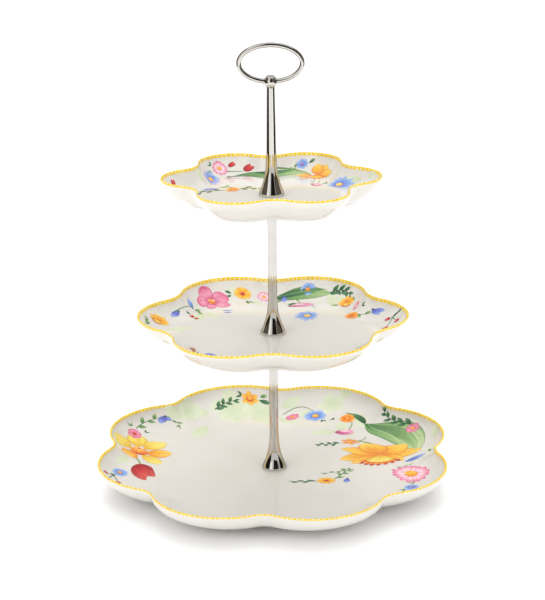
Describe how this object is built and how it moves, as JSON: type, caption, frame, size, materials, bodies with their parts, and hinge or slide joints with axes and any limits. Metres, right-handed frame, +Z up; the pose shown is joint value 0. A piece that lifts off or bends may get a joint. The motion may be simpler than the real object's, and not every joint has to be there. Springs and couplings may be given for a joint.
{
  "type": "tiered cake stand",
  "caption": "Tiered cake stand with scalloped porcelain plates on a screwed metal stem, with an oval ring handle on top.",
  "frame": {"origin": "on the stem's axis, in the plane of the bottom plate's foot, where the stand meets the table", "axes": "+Z up along the stem, +X to the right and -Y to the front, with the ring handle lying in the XZ plane"},
  "size_m": [0.329, 0.329, 0.4145],
  "materials": {
    "porcelain": "glossy white glaze with painted flowers and a yellow rim band",
    "polished_metal": "mirror polished",
    "brass": "turned, unpolished",
    "screw_steel": "satin plated",
    "gasket": "soft translucent white"
  },
  "bodies": {
    "bottom_tier": {"bottom_plate": "porcelain", "bottom_upper_gasket": "gasket", "bottom_lower_gasket": "gasket", "base_washer": "screw_steel"},
    "base_screw": {"base_screw": "screw_steel"},
    "lower_stem": {"lower_stem": "polished_metal", "lower_bush": "brass", "lower_stud": "brass"},
    "middle_tier": {"middle_plate": "porcelain", "middle_upper_gasket": "gasket", "middle_lower_gasket": "gasket"},
    "middle_stem": {"middle_stem": "polished_metal", "middle_bush": "brass", "middle_stud": "brass"},
    "top_tier": {"top_plate": "porcelain", "top_upper_gasket": "gasket", "top_lower_gasket": "gasket"},
    "handle": {"handle_stem": "polished_metal", "handle_bush": "brass", "handle_ball": "polished_metal", "handle_ring": "polished_metal"}
  },
  "joints": [
    {"name": "lower_stem_turn", "type": "hinge", "parent": "bottom_tier", "child": "lower_stem", "pos_m": [0, 0, 0.0087], "axis": [0, 0, 1], "continuous": true},
    {"name": "base_screw_turn", "type": "hinge", "parent": "lower_stem", "child": "base_screw", "pos_m": [0, 0, 0.003], "axis": [0, 0, 1], "continuous": true},
    {"name": "middle_tier_turn", "type": "hinge", "parent": "lower_stem", "child": "middle_tier", "pos_m": [0, 0, 0.1397], "axis": [0, 0, 1], "continuous": true},
    {"name": "middle_stem_turn", "type": "hinge", "parent": "lower_stem", "child": "middle_stem", "pos_m": [0, 0, 0.144], "axis": [0, 0, 1], "continuous": true},
    {"name": "top_tier_turn", "type": "hinge", "parent": "middle_stem", "child": "top_tier", "pos_m": [0, 0, 0.272], "axis": [0, 0, 1], "continuous": true},
    {"name": "handle_turn", "type": "hinge", "parent": "middle_stem", "child": "handle", "pos_m": [0, 0, 0.2763], "axis": [0, 0, 1], "continuous": true}
  ]
}
